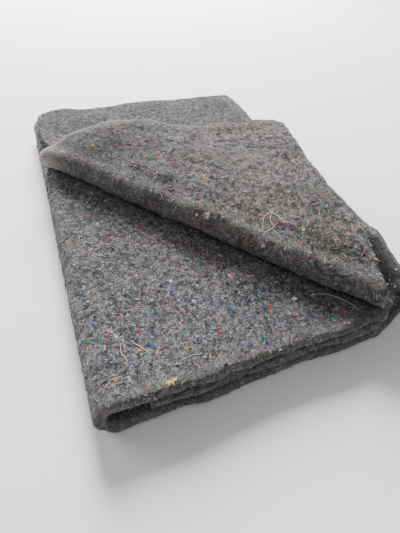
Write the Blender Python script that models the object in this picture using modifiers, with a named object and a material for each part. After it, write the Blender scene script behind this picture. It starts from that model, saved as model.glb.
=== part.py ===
"""A grey recycled-felt moving blanket, folded flat, with one corner of its top panel turned back.

The blanket is one sheet. It is folded in half, which makes a package of two plies with a rounded
fold along the front. The package is then wound into a flat spiral of four layers: the tucked end,
the middle layer, the bottom layer and the top panel. The top panel's near-left corner is rolled
over a slanting crease and points to the far right.

Metres, +Z up. The pad stands on z = 0, centred on the origin, with its folded front at -Y.
"""

import math

import bpy
import numpy as np

NAME = "moving_blanket"

# The felt and how its layers lie
PLY = 0.0055
PLY_GAP = 0.0030
LAYER_GAP = 0.0020

# The folded pad, seen from above, measured from its front left corner
WIDTH = 0.470
DEPTH = 0.674
TUCK_FREE_END = 0.062
TUCK_BEND_X = 0.384

# The top panel's edges as they would lie if it were not turned back: the left one hangs over the
# left side, and the folded front one bows out
PANEL_LEFT_EDGE = (
    # y, x
    (0.018, -0.064),
    (0.090, -0.050),
    (0.230, -0.059),
    (0.400, -0.043),
    (0.460, -0.004),
    (0.495, 0.022),
    (0.560, 0.013),
)
PANEL_FRONT_EDGE = (
    # x, y
    (-0.080, 0.020),
    (0.000, 0.023),
    (0.100, 0.017),
    (0.200, 0.005),
    (0.260, -0.004),
    (0.340, -0.001),
    (0.400, 0.007),
)
BACK_CORNER_RADIUS = 0.040
FLAP_CORNER_CUT = 0.018

# The slanting crease: its direction, its distance from the pad's front left corner, and its roll
CREASE_ANGLE = math.radians(-52.0)
CREASE_OFFSET = 0.311
ROLL_LEFT = 0.0080
ROLL_MIDDLE = 0.0130
ROLL_RIGHT = 0.0100
ROLL_FULLNESS = 0.8

# The turned flap: how it rises towards its free corner, and its soft swelling
FLAP_RISE = 0.0195
FLAP_RISE_REACH = 0.085
FLAP_EASE = 0.035
FLAP_SWELL = 0.007
SWELL_X = 0.150
SWELL_Y = 0.500
SWELL_REACH = 0.090
CORNER_LIFT = 0.002
LIFT_FROM = 0.260
LIFT_TO = 0.330

# The loose right bend stands higher where the flap pulls on it
RIGHT_PUFF = 0.017
PUFF_X = 0.460
PUFF_Y = 0.225
PUFF_REACH_X = 0.080
PUFF_REACH_Y = 0.130

# The outer fold of the right bend swells beside the flap's folded edge
SHOULDER_SWELL = 0.014
SHOULDER_X = 0.437
SHOULDER_Y = 0.090
SHOULDER_SLANT = 0.39
SHOULDER_REACH_X = 0.027
SHOULDER_REACH_Y = 0.072

# The front end of the right bend is rounded back
RIGHT_SET_BACK = 0.022
SET_BACK_FROM = 0.375
SET_BACK_REACH = 0.160

# The right bend lies further out towards the back
BACK_FLARE = 0.011
FLARE_FROM_X = 0.300
FLARE_FROM_Y = 0.420

# Unevenness of the whole pad
FRONT_SLOPE = 0.20
EDGE_TWIST = 30.0
HEIGHT_WAVES = (
    # share of height, wavelength along x, wavelength along y, phase
    (0.030, 0.330, 0.520, 0.6),
    (0.018, 0.170, 0.270, 2.1),
)
EDGE_WAVES = (
    # amplitude, wavelength, phase
    (0.0012, 0.210, 0.4),
    (0.0008, 0.093, 1.9),
)

# Grid steps along the package, one row for each stretch of the spiral and of the top panel
STEPS = {
    "tucked end": 6,
    "tuck bend": 8,
    "middle layer": 8,
    "left bend": 9,
    "bottom layer": 8,
    "right bend": 11,
    "panel": 9,
    "roll": 8,
    "flap": 9,
}
PLY_STEPS = 14
NOSE_STEPS = 4
BISECTIONS = 40
HAIR = 1e-9

HALF_PACKAGE = PLY + PLY_GAP / 2
PITCH = 2 * HALF_PACKAGE + LAYER_GAP
PLY_OFFSET = (PLY + PLY_GAP) / 2
Z_BOTTOM = HALF_PACKAGE
Z_TUCK = Z_BOTTOM + PITCH
Z_MIDDLE = Z_BOTTOM + 2 * PITCH
Z_PANEL = Z_BOTTOM + 3 * PITCH
R_TUCK = PITCH / 2
R_LEFT = PITCH
R_RIGHT = 1.5 * PITCH
R_SHOULDER = 2 * PITCH
LEFT_BEND_X = R_LEFT + HALF_PACKAGE
RIGHT_BEND_X = WIDTH - R_RIGHT - HALF_PACKAGE

ALONG = np.array([math.cos(CREASE_ANGLE), math.sin(CREASE_ANGLE)])
ACROSS = np.array([-ALONG[1], ALONG[0]])
FRONT = HALF_PACKAGE
PANEL_LEFT_BACK = PANEL_LEFT_EDGE[-1][1]
PANEL_CORNER = np.array([PANEL_LEFT_EDGE[0][1], PANEL_FRONT_EDGE[0][1]])
CREASE_LEFT_END = np.array([0.0, CREASE_OFFSET / ACROSS[1]])
CREASE_RIGHT_END = np.array([CREASE_OFFSET / ACROSS[0], 0.0])

# The spiral below the top panel: straight runs and half turns, each turning to the left
STRETCHES = (
    # name, start x, start z, heading along x, length, bend radius
    ("tucked end", TUCK_FREE_END, Z_TUCK, 1, TUCK_BEND_X - TUCK_FREE_END, 0),
    ("tuck bend", TUCK_BEND_X, Z_TUCK, 1, math.pi * R_TUCK, R_TUCK),
    ("middle layer", TUCK_BEND_X, Z_MIDDLE, -1, TUCK_BEND_X - LEFT_BEND_X, 0),
    ("left bend", LEFT_BEND_X, Z_MIDDLE, -1, math.pi * R_LEFT, R_LEFT),
    ("bottom layer", LEFT_BEND_X, Z_BOTTOM, 1, RIGHT_BEND_X - LEFT_BEND_X, 0),
    ("right bend", RIGHT_BEND_X, Z_BOTTOM, 1, math.pi * R_RIGHT, R_RIGHT),
)
PANEL_START = sum(stretch[4] for stretch in STRETCHES)


def smooth(value, low, high):
    """0 below low, 1 above high, with a smooth rise between them."""
    part = np.clip((value - low) / (high - low), 0.0, 1.0)
    return part * part * (3 - 2 * part)


def lerp(start, end, part):
    return start + (end - start) * part


def spiral(run, off):
    """x and z of points a distance along the spiral, and off its middle towards the bends' centres."""
    x = np.zeros_like(run)
    z = np.zeros_like(run)
    begin = 0.0
    for _, start_x, start_z, heading, length, radius in STRETCHES:
        here = (run >= begin) & (run <= begin + length + HAIR)
        way = run[here] - begin
        if radius:
            turned = way / radius
            reach = radius - off[here]
            x[here] = start_x + heading * reach * np.sin(turned)
            z[here] = start_z + heading * (radius - reach * np.cos(turned))
        else:
            x[here] = start_x + heading * way
            z[here] = start_z + heading * off[here]
        begin += length
    return x, z


def roll_radius(along):
    """The roll's radius by place along the crease: small at both ends and puffed between them."""
    left = CREASE_LEFT_END @ ALONG
    right = CREASE_RIGHT_END @ ALONG
    part = np.clip((along - left) / (right - left), 0.0, 1.0)
    puff = np.sin(math.pi * part) ** ROLL_FULLNESS
    return lerp(lerp(ROLL_LEFT, ROLL_RIGHT, part), ROLL_MIDDLE, puff)


def turned_panel(x, y, up):
    """The top panel's flat space rolled over the crease: x, y and height over the panel's middle."""
    across = x * ACROSS[0] + y * ACROSS[1]
    along = x * ALONG[0] + y * ALONG[1]
    past = CREASE_OFFSET - across
    radius = roll_radius(along)
    turned = np.clip(past / radius, 0.0, math.pi)
    beyond = np.maximum(past - math.pi * radius, 0.0)
    before = np.maximum(-past, 0.0)
    reach = radius - up
    new_across = CREASE_OFFSET + before - reach * np.sin(turned) + beyond
    height = radius - reach * np.cos(turned)
    new_x = new_across * ACROSS[0] + along * ALONG[0]
    new_y = new_across * ACROSS[1] + along * ALONG[1]
    swell = np.exp(-((new_x - SWELL_X) ** 2 + (new_y - SWELL_Y) ** 2) / SWELL_REACH**2)
    eased = smooth(beyond, 0.0, FLAP_EASE)
    lift = CORNER_LIFT * smooth(beyond, LIFT_FROM, LIFT_TO)
    rise = FLAP_RISE * (1 - np.exp(-beyond / FLAP_RISE_REACH))
    height = height + (rise + FLAP_SWELL * swell) * eased + lift
    return new_x, new_y, height


def panel_base(x, height):
    """Lays the panel's space on the pad: level, then hanging round the left shoulder."""
    turned = np.maximum(LEFT_BEND_X - x, 0.0) / R_SHOULDER
    reach = R_SHOULDER + height
    level_x = np.maximum(x, LEFT_BEND_X)
    return level_x - reach * np.sin(turned), Z_PANEL - R_SHOULDER + reach * np.cos(turned)


def uneven(x, y, z):
    """Bends space a little, so that the layers stay apart while nothing stays perfectly straight."""
    front = 1.0 - y / DEPTH
    wave = np.zeros_like(x)
    for share, across, deep, phase in HEIGHT_WAVES:
        wave += share * np.sin(2 * math.pi * (x / across + y / deep) + phase)
    edge = np.zeros_like(x)
    for size, length, phase in EDGE_WAVES:
        edge += size * np.sin(2 * math.pi * x / length + phase + EDGE_TWIST * z)
    puff = np.exp(-(((x - PUFF_X) / PUFF_REACH_X) ** 2) - ((y - PUFF_Y) / PUFF_REACH_Y) ** 2)
    swell_x = (x - SHOULDER_X - SHOULDER_SLANT * (y - SHOULDER_Y)) / SHOULDER_REACH_X
    swell = np.exp(-(swell_x**2) - ((y - SHOULDER_Y) / SHOULDER_REACH_Y) ** 2)
    height = z + wave * np.maximum(z - PLY / 2, 0.0) + RIGHT_PUFF * puff * smooth(z, PLY, Z_PANEL)
    height = height + SHOULDER_SWELL * swell * smooth(z, Z_MIDDLE - HALF_PACKAGE, Z_PANEL)
    set_back = RIGHT_SET_BACK * smooth(x, SET_BACK_FROM, WIDTH) * smooth(-y, -SET_BACK_REACH, 0.0)
    flare = BACK_FLARE * smooth(x, FLARE_FROM_X, WIDTH) * smooth(y, FLARE_FROM_Y, DEPTH)
    return x + flare, y + FRONT_SLOPE * z * front + edge + set_back, height


def placed(run, y, off):
    """Real positions of the package's flat space: along the spiral, along y, off the middle."""
    run, y, off = (np.asarray(values, float) for values in (run, y, off))
    x = np.empty_like(run)
    z = np.empty_like(run)
    new_y = y.copy()
    below = run <= PANEL_START
    x[below], z[below] = spiral(run[below], off[below])
    top = ~below
    flat_x = RIGHT_BEND_X - (run[top] - PANEL_START)
    rolled_x, new_y[top], height = turned_panel(flat_x, y[top], -off[top])
    x[top], z[top] = panel_base(rolled_x, height)
    return np.stack(uneven(x, new_y, z), axis=-1)


def through(stations, at):
    """The value at a place on a smooth line through the stations."""
    places, values = np.array(stations).T
    slopes = np.gradient(values, places)
    at = min(max(at, places[0]), places[-1])
    left = min(int(np.searchsorted(places, at, side="right")) - 1, len(places) - 2)
    span = places[left + 1] - places[left]
    part = (at - places[left]) / span
    straight = lerp(values[left], values[left + 1], part)
    chord = (values[left + 1] - values[left]) / span
    bend = (1 - part) * (slopes[left] - chord) - part * (slopes[left + 1] - chord)
    return straight + span * part * (1 - part) * bend


def panel_rim(way):
    """The point a distance along the panel's back edge, round its corner and down its left edge."""
    corner = BACK_CORNER_RADIUS
    back = RIGHT_BEND_X - PANEL_LEFT_BACK - corner
    arc = math.pi / 2 * corner
    if way < back:
        return np.array([RIGHT_BEND_X - way, DEPTH])
    if way < back + arc:
        turned = (way - back) / corner
        x = PANEL_LEFT_BACK + corner * (1 - math.sin(turned))
        return np.array([x, DEPTH - corner * (1 - math.cos(turned))])
    y = DEPTH - corner - (way - back - arc)
    return np.array([through(PANEL_LEFT_EDGE, y), y])


def crease_line(rolled, turned, parts):
    """Points of a line along the crease: shares of the roll and of the flap that lie before it."""
    last = CREASE_OFFSET - PANEL_CORNER @ ACROSS - FLAP_CORNER_CUT / math.sqrt(2)

    def point(along):
        roll = math.pi * roll_radius(along)
        past = rolled * roll + turned * (last - roll)
        return along * ALONG + (CREASE_OFFSET - past) * ACROSS

    def where(outside, low, high):
        for _ in range(BISECTIONS):
            middle = (low + high) / 2
            if outside(point(middle)):
                low = middle
            else:
                high = middle
        return high

    inner = PANEL_CORNER @ ALONG
    left = where(lambda spot: spot[0] < through(PANEL_LEFT_EDGE, spot[1]), inner - DEPTH, inner)
    front = where(lambda spot: spot[1] < through(PANEL_FRONT_EDGE, spot[0]), inner + WIDTH, inner)
    return [point(lerp(front, left, part)) for part in parts]


def panel_columns(parts):
    """The grid lines across the top panel, each from the front edge to the back or left edge."""
    crease_front, crease_left = crease_line(0.0, 0.0, (0.0, 1.0))
    corner = BACK_CORNER_RADIUS
    rim = RIGHT_BEND_X - PANEL_LEFT_BACK - 2 * corner + math.pi / 2 * corner + DEPTH - crease_left[1]
    columns = []
    for step in range(1, STEPS["panel"]):
        share = step / STEPS["panel"]
        front_x = lerp(RIGHT_BEND_X, crease_front[0], share)
        front = np.array([front_x, through(PANEL_FRONT_EDGE, front_x)])
        far = panel_rim(rim * share)
        columns.append([lerp(front, far, part) for part in parts])
    for step in range(STEPS["roll"]):
        columns.append(crease_line(step / STEPS["roll"], 0.0, parts))
    for step in range(STEPS["flap"] + 1):
        columns.append(crease_line(1.0, step / STEPS["flap"], parts))
    return columns


def flat_grid():
    """The package's flat space, column by column: run along the spiral, y, and offset of the ply."""
    rows = []
    for row in range(PLY_STEPS):
        rows.append((1 - row / PLY_STEPS, 0.0, 1.0))
    for row in range(NOSE_STEPS + 1):
        turned = math.pi * row / NOSE_STEPS
        rows.append((0.0, math.sin(turned), math.cos(turned)))
    for row in range(1, PLY_STEPS + 1):
        rows.append((row / PLY_STEPS, 0.0, -1.0))
    parts = [part for part, _, _ in rows]
    columns = []
    begin = 0.0
    for name, _, _, _, length, _ in STRETCHES:
        for step in range(STEPS[name]):
            run = begin + length * step / STEPS[name]
            columns.append([(run, lerp(FRONT, DEPTH, part)) for part in parts])
        begin += length
    columns.append([(begin, lerp(FRONT, DEPTH, part)) for part in parts])
    for column in panel_columns(parts):
        columns.append([(PANEL_START + RIGHT_BEND_X - spot[0], spot[1]) for spot in column])
    grid = np.empty((len(rows), len(columns), 3))
    for across, column in enumerate(columns):
        for row, (_, out, side) in enumerate(rows):
            run, y = column[row]
            grid[row, across] = (run, y - out * PLY_OFFSET, side * PLY_OFFSET)
    return grid


def felt():
    """Mottled grey recycled felt."""
    material = bpy.data.materials.new("grey_felt")
    material.use_nodes = True
    shader = material.node_tree.nodes["Principled BSDF"]
    shader.inputs["Base Color"].default_value = (0.19, 0.19, 0.195, 1.0)
    shader.inputs["Roughness"].default_value = 0.95
    shader.inputs["Metallic"].default_value = 0.0
    return material


def blanket(collection):
    """The folded sheet: a grid moved into its folds, then given the felt's thickness."""
    grid = flat_grid()
    rows, columns = grid.shape[:2]
    bpy.ops.mesh.primitive_grid_add(x_subdivisions=columns - 1, y_subdivisions=rows - 1, size=2)
    sheet = bpy.context.active_object
    sheet.name = NAME
    sheet.data.name = NAME
    points = placed(grid[..., 0], grid[..., 1], grid[..., 2])
    for vertex in sheet.data.vertices:
        column = round((vertex.co.x + 1) / 2 * (columns - 1))
        row = round((vertex.co.y + 1) / 2 * (rows - 1))
        vertex.co = points[row, column]
    sheet.data.shade_smooth()
    sheet.data.materials.append(felt())
    thick = sheet.modifiers.new("felt thickness", "SOLIDIFY")
    thick.thickness = PLY
    thick.offset = 0.0
    thick.use_rim = True
    for other in list(sheet.users_collection):
        other.objects.unlink(sheet)
    collection.objects.link(sheet)
    return sheet


def centre(sheet):
    """Moves the mesh so that the solid's box is centred on the origin and stands on z = 0."""
    bpy.context.view_layer.update()
    solid = sheet.evaluated_get(bpy.context.evaluated_depsgraph_get())
    corners = np.array([tuple(corner) for corner in solid.bound_box])
    low, high = corners.min(axis=0), corners.max(axis=0)
    shift = np.array([-(low[0] + high[0]) / 2, -(low[1] + high[1]) / 2, -low[2]])
    for vertex in sheet.data.vertices:
        vertex.co = np.array(vertex.co) + shift
    print("middle of the pad in the fold's own frame:", -shift, "size:", high - low)


def main():
    for item in list(bpy.data.objects):
        bpy.data.objects.remove(item, do_unlink=True)
    collection = bpy.data.collections.new(NAME)
    bpy.context.scene.collection.children.link(collection)
    centre(blanket(collection))


main()
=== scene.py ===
"""The look of a grey recycled-felt moving blanket that lies folded, with one corner turned back.

A fine sheet is moved into the same folds as the solid, and gets its felt: mottled grey fibre, pale
curls, coloured flecks and threads, and a hairy edge. Metres, +Z up.
"""

import math

import bpy
import numpy as np
from mathutils import Matrix, Vector
from mathutils.bvhtree import BVHTree


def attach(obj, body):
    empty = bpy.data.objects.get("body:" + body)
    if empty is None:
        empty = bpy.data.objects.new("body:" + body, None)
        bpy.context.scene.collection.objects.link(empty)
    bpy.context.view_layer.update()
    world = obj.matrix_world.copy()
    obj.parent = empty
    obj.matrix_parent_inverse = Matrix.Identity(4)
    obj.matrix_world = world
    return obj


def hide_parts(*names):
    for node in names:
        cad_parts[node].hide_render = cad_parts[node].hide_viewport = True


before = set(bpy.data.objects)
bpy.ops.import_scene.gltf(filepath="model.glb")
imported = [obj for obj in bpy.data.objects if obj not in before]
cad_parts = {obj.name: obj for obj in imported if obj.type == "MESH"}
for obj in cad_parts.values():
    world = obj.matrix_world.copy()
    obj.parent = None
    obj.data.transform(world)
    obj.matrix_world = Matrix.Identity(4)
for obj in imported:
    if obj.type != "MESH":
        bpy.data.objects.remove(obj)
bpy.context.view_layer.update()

SEED = 20417
PICTURE_WIDTH = 400
PICTURE_HEIGHT = 533

# The felt and how its layers lie, as in the solid
PLY = 0.0055
PLY_GAP = 0.0030
LAYER_GAP = 0.0020
WIDTH = 0.470
DEPTH = 0.674
TUCK_FREE_END = 0.062
TUCK_BEND_X = 0.384
PANEL_LEFT_EDGE = (
    # y, x
    (0.018, -0.064),
    (0.090, -0.050),
    (0.230, -0.059),
    (0.400, -0.043),
    (0.460, -0.004),
    (0.495, 0.022),
    (0.560, 0.013),
)
PANEL_FRONT_EDGE = (
    # x, y
    (-0.080, 0.020),
    (0.000, 0.023),
    (0.100, 0.017),
    (0.200, 0.005),
    (0.260, -0.004),
    (0.340, -0.001),
    (0.400, 0.007),
)
BACK_CORNER_RADIUS = 0.040
FLAP_CORNER_CUT = 0.018
CREASE_ANGLE = math.radians(-52.0)
CREASE_OFFSET = 0.311
ROLL_LEFT = 0.0080
ROLL_MIDDLE = 0.0130
ROLL_RIGHT = 0.0100
ROLL_FULLNESS = 0.8
FLAP_RISE = 0.0195
FLAP_RISE_REACH = 0.085
FLAP_EASE = 0.035
FLAP_SWELL = 0.007
SWELL_X = 0.150
SWELL_Y = 0.500
SWELL_REACH = 0.090
CORNER_LIFT = 0.002
LIFT_FROM = 0.260
LIFT_TO = 0.330
RIGHT_PUFF = 0.017
PUFF_X = 0.460
PUFF_Y = 0.225
PUFF_REACH_X = 0.080
PUFF_REACH_Y = 0.130
SHOULDER_SWELL = 0.014
SHOULDER_X = 0.437
SHOULDER_Y = 0.090
SHOULDER_SLANT = 0.39
SHOULDER_REACH_X = 0.027
SHOULDER_REACH_Y = 0.072
RIGHT_SET_BACK = 0.022
SET_BACK_FROM = 0.375
SET_BACK_REACH = 0.160
BACK_FLARE = 0.011
FLARE_FROM_X = 0.300
FLARE_FROM_Y = 0.420
FRONT_SLOPE = 0.20
EDGE_TWIST = 30.0
HEIGHT_WAVES = (
    # share of height, wavelength along x, wavelength along y, phase
    (0.030, 0.330, 0.520, 0.6),
    (0.018, 0.170, 0.270, 2.1),
)
EDGE_WAVES = (
    # amplitude, wavelength, phase
    (0.0012, 0.210, 0.4),
    (0.0008, 0.093, 1.9),
)
# The middle of the solid's box in the fold's own frame
MIDDLE = np.array([0.24051067, 0.33777028, 0.0])

# A dip of the panel beside the flap's front rim, which the solid doesn't have
GROOVE_X = 0.411
GROOVE_Y = 0.060
GROOVE_SLANT = 0.20
GROOVE_REACH = 0.014
GROOVE_DEPTH = 0.006
GROOVE_END_FROM = 0.115
GROOVE_END_TO = 0.165
GROOVE_FADE = 0.010

# Grid steps of the fine sheet
STEPS = {
    "tucked end": 10,
    "tuck bend": 12,
    "middle layer": 58,
    "left bend": 14,
    "bottom layer": 16,
    "right bend": 24,
    "panel": 44,
    "roll": 16,
    "flap": 54,
}
PLY_STEPS = 84
NOSE_STEPS = 10
BISECTIONS = 40
HAIR = 1e-9

# Random waves: how many, their shortest and longest length, and their height
LUMPS = (
    # lumps of the felt
    (40, 0.016, 0.045, 0.00042),
    (30, 0.007, 0.014, 0.00016),
)
# Soft unevenness that moves all layers together, and ripples of the front, with how deep they go
SAGS = (22, 0.060, 0.190, 0.0011)
SAG_DRAW = 11
FRONT_RIPPLES = (18, 0.014, 0.070, 0.0009)
RIPPLE_DRAW = 12
RIPPLE_STRETCH = 1.7
RIPPLE_DEPTH = 0.10

HALF_PACKAGE = PLY + PLY_GAP / 2
PITCH = 2 * HALF_PACKAGE + LAYER_GAP
PLY_OFFSET = (PLY + PLY_GAP) / 2
Z_BOTTOM = HALF_PACKAGE
Z_TUCK = Z_BOTTOM + PITCH
Z_MIDDLE = Z_BOTTOM + 2 * PITCH
Z_PANEL = Z_BOTTOM + 3 * PITCH
R_TUCK = PITCH / 2
R_LEFT = PITCH
R_RIGHT = 1.5 * PITCH
R_SHOULDER = 2 * PITCH
LEFT_BEND_X = R_LEFT + HALF_PACKAGE
RIGHT_BEND_X = WIDTH - R_RIGHT - HALF_PACKAGE
ALONG = np.array([math.cos(CREASE_ANGLE), math.sin(CREASE_ANGLE)])
ACROSS = np.array([-ALONG[1], ALONG[0]])
FRONT = HALF_PACKAGE
PANEL_LEFT_BACK = PANEL_LEFT_EDGE[-1][1]
PANEL_CORNER = np.array([PANEL_LEFT_EDGE[0][1], PANEL_FRONT_EDGE[0][1]])
CREASE_LEFT_END = np.array([0.0, CREASE_OFFSET / ACROSS[1]])
CREASE_RIGHT_END = np.array([CREASE_OFFSET / ACROSS[0], 0.0])
STRETCHES = (
    # name, start x, start z, heading along x, length, bend radius
    ("tucked end", TUCK_FREE_END, Z_TUCK, 1, TUCK_BEND_X - TUCK_FREE_END, 0),
    ("tuck bend", TUCK_BEND_X, Z_TUCK, 1, math.pi * R_TUCK, R_TUCK),
    ("middle layer", TUCK_BEND_X, Z_MIDDLE, -1, TUCK_BEND_X - LEFT_BEND_X, 0),
    ("left bend", LEFT_BEND_X, Z_MIDDLE, -1, math.pi * R_LEFT, R_LEFT),
    ("bottom layer", LEFT_BEND_X, Z_BOTTOM, 1, RIGHT_BEND_X - LEFT_BEND_X, 0),
    ("right bend", RIGHT_BEND_X, Z_BOTTOM, 1, math.pi * R_RIGHT, R_RIGHT),
)
PANEL_START = sum(stretch[4] for stretch in STRETCHES)

# The camera, fitted to the pad's outline in the photograph
CAMERA_AZIMUTH = math.radians(-26.54)
CAMERA_ELEVATION = math.radians(46.87)
CAMERA_ROLL = math.radians(6.14)
CAMERA_PLACE = np.array([0.0261, -0.1462, 0.4191])
FOCAL_PIXELS = 360.0


def smooth(value, low, high):
    """0 below low, 1 above high, with a smooth rise between them."""
    part = np.clip((value - low) / (high - low), 0.0, 1.0)
    return part * part * (3 - 2 * part)


def lerp(start, end, part):
    return start + (end - start) * part


def bell(value, middle, reach):
    """1 at the middle, falling off smoothly to both sides."""
    return np.exp(-(((value - middle) / reach) ** 2))


def stretch_starts():
    """How far along the spiral each stretch begins."""
    starts = {}
    way = 0.0
    for name, _, _, _, length, _ in STRETCHES:
        starts[name] = way
        way += length
    return starts


def waves(seed, count, shortest, longest, height):
    """Random plane waves: wave vectors, phases and amplitudes."""
    draw = np.random.default_rng(SEED + seed)
    length = shortest * (longest / shortest) ** draw.random(count)
    heading = draw.random(count) * 2 * math.pi
    vectors = np.stack([np.cos(heading), np.sin(heading)], axis=-1) * (2 * math.pi / length)[:, None]
    return vectors, draw.random(count) * 2 * math.pi, height * math.sqrt(2 / count)


def rough(field, across, up):
    """The height of a field of random waves."""
    vectors, phases, size = field
    total = np.zeros(np.broadcast(across, up).shape)
    for (first, second), phase in zip(vectors, phases):
        total = total + size * np.sin(first * across + second * up + phase)
    return total


START_OF = stretch_starts()
LUMP_FIELDS = [waves(number, *lump) for number, lump in enumerate(LUMPS)]
SAG_FIELD = waves(SAG_DRAW, *SAGS)
RIPPLE_FIELD = waves(RIPPLE_DRAW, *FRONT_RIPPLES)


def lumps(run, skin):
    """How far the lumps stand out of the felt, by place along the spiral and round the nose."""
    return sum(rough(field, run, skin) for field in LUMP_FIELDS)


def panel_x(run):
    """x of a place on the top panel, before the panel is rolled back."""
    return RIGHT_BEND_X - (run - PANEL_START)


def spiral(run, off):
    """x and z of points a distance along the spiral, and off its middle towards the bends' centres."""
    x = np.zeros_like(run)
    z = np.zeros_like(run)
    begin = 0.0
    for _, start_x, start_z, heading, length, radius in STRETCHES:
        here = (run >= begin - HAIR) & (run <= begin + length + HAIR)
        way = run[here] - begin
        if radius:
            turned = way / radius
            reach = radius - off[here]
            x[here] = start_x + heading * reach * np.sin(turned)
            z[here] = start_z + heading * (radius - reach * np.cos(turned))
        else:
            x[here] = start_x + heading * way
            z[here] = start_z + heading * off[here]
        begin += length
    return x, z


def roll_radius(along):
    """The roll's radius by place along the crease: small at both ends and puffed between them."""
    left = CREASE_LEFT_END @ ALONG
    right = CREASE_RIGHT_END @ ALONG
    part = np.clip((along - left) / (right - left), 0.0, 1.0)
    puff = np.sin(math.pi * part) ** ROLL_FULLNESS
    return lerp(lerp(ROLL_LEFT, ROLL_RIGHT, part), ROLL_MIDDLE, puff)


def groove(x, y, reach):
    """How deep a place of the panel lies in the dip beside the flap's front rim: 0 to 1."""
    middle = GROOVE_X + GROOVE_SLANT * (y - GROOVE_Y)
    return bell(x, middle, reach) * smooth(-y, -GROOVE_END_TO, -GROOVE_END_FROM)


def turned_panel(x, y, up):
    """The top panel's flat space rolled over the crease: x, y and height over the panel's middle."""
    across = x * ACROSS[0] + y * ACROSS[1]
    along = x * ALONG[0] + y * ALONG[1]
    past = CREASE_OFFSET - across
    radius = roll_radius(along)
    turned = np.clip(past / radius, 0.0, math.pi)
    beyond = np.maximum(past - math.pi * radius, 0.0)
    before = np.maximum(-past, 0.0)
    reach = radius - up
    new_across = CREASE_OFFSET + before - reach * np.sin(turned) + beyond
    height = radius - reach * np.cos(turned)
    new_x = new_across * ACROSS[0] + along * ALONG[0]
    new_y = new_across * ACROSS[1] + along * ALONG[1]
    swell = np.exp(-((new_x - SWELL_X) ** 2 + (new_y - SWELL_Y) ** 2) / SWELL_REACH**2)
    eased = smooth(beyond, 0.0, FLAP_EASE)
    lift = CORNER_LIFT * smooth(beyond, LIFT_FROM, LIFT_TO)
    rise = FLAP_RISE * (1 - np.exp(-beyond / FLAP_RISE_REACH))
    height = height + (rise + FLAP_SWELL * swell) * eased + lift
    height = height - GROOVE_DEPTH * groove(x, y, GROOVE_REACH) * smooth(before, 0.0, GROOVE_FADE)
    return new_x, new_y, height


def panel_base(x, height):
    """Lays the panel's space on the pad: level, then hanging round the left shoulder."""
    turned = np.maximum(LEFT_BEND_X - x, 0.0) / R_SHOULDER
    reach = R_SHOULDER + height
    level_x = np.maximum(x, LEFT_BEND_X)
    return level_x - reach * np.sin(turned), Z_PANEL - R_SHOULDER + reach * np.cos(turned)


def uneven(x, y, z):
    """Bends space a little, so that the layers stay apart while nothing stays perfectly straight."""
    front = 1.0 - y / DEPTH
    wave = np.zeros_like(x)
    for share, across, deep, phase in HEIGHT_WAVES:
        wave += share * np.sin(2 * math.pi * (x / across + y / deep) + phase)
    edge = np.zeros_like(x)
    for size, length, phase in EDGE_WAVES:
        edge += size * np.sin(2 * math.pi * x / length + phase + EDGE_TWIST * z)
    puff = np.exp(-(((x - PUFF_X) / PUFF_REACH_X) ** 2) - ((y - PUFF_Y) / PUFF_REACH_Y) ** 2)
    swell_x = (x - SHOULDER_X - SHOULDER_SLANT * (y - SHOULDER_Y)) / SHOULDER_REACH_X
    swell = np.exp(-(swell_x**2) - ((y - SHOULDER_Y) / SHOULDER_REACH_Y) ** 2)
    raised = smooth(z, PLY, Z_PANEL)
    height = z + wave * np.maximum(z - PLY / 2, 0.0) + RIGHT_PUFF * puff * raised
    height = height + SHOULDER_SWELL * swell * smooth(z, Z_MIDDLE - HALF_PACKAGE, Z_PANEL)
    height = height + rough(SAG_FIELD, x, y) * raised
    set_back = RIGHT_SET_BACK * smooth(x, SET_BACK_FROM, WIDTH) * smooth(-y, -SET_BACK_REACH, 0.0)
    flare = BACK_FLARE * smooth(x, FLARE_FROM_X, WIDTH) * smooth(y, FLARE_FROM_Y, DEPTH)
    edge = edge + rough(RIPPLE_FIELD, x, RIPPLE_STRETCH * z) * smooth(-y, -RIPPLE_DEPTH, 0.0)
    return x + flare, y + FRONT_SLOPE * z * front + edge + set_back, height


def placed(run, y, off):
    """Real positions of the package's flat space: along the spiral, along y, off the middle."""
    run, y, off = (np.array(values, float) for values in np.broadcast_arrays(run, y, off))
    x = np.empty_like(run)
    z = np.empty_like(run)
    new_y = y.copy()
    below = run <= PANEL_START
    x[below], z[below] = spiral(run[below], off[below])
    top = ~below
    rolled_x, new_y[top], height = turned_panel(panel_x(run[top]), y[top], -off[top])
    x[top], z[top] = panel_base(rolled_x, height)
    return np.stack(uneven(x, new_y, z), axis=-1) - MIDDLE


def through(stations, at):
    """The value at a place on a smooth line through the stations."""
    places, values = np.array(stations).T
    slopes = np.gradient(values, places)
    at = np.clip(at, places[0], places[-1])
    left = np.clip(np.searchsorted(places, at, side="right") - 1, 0, len(places) - 2)
    span = places[left + 1] - places[left]
    part = (at - places[left]) / span
    chord = (values[left + 1] - values[left]) / span
    bend = (1 - part) * (slopes[left] - chord) - part * (slopes[left + 1] - chord)
    return lerp(values[left], values[left + 1], part) + span * part * (1 - part) * bend


def panel_rim(way):
    """The point a distance along the panel's back edge, round its corner and down its left edge."""
    corner = BACK_CORNER_RADIUS
    back = RIGHT_BEND_X - PANEL_LEFT_BACK - corner
    arc = math.pi / 2 * corner
    if way < back:
        return np.array([RIGHT_BEND_X - way, DEPTH])
    if way < back + arc:
        turned = (way - back) / corner
        x = PANEL_LEFT_BACK + corner * (1 - math.sin(turned))
        return np.array([x, DEPTH - corner * (1 - math.cos(turned))])
    y = DEPTH - corner - (way - back - arc)
    return np.array([through(PANEL_LEFT_EDGE, y), y])


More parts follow.
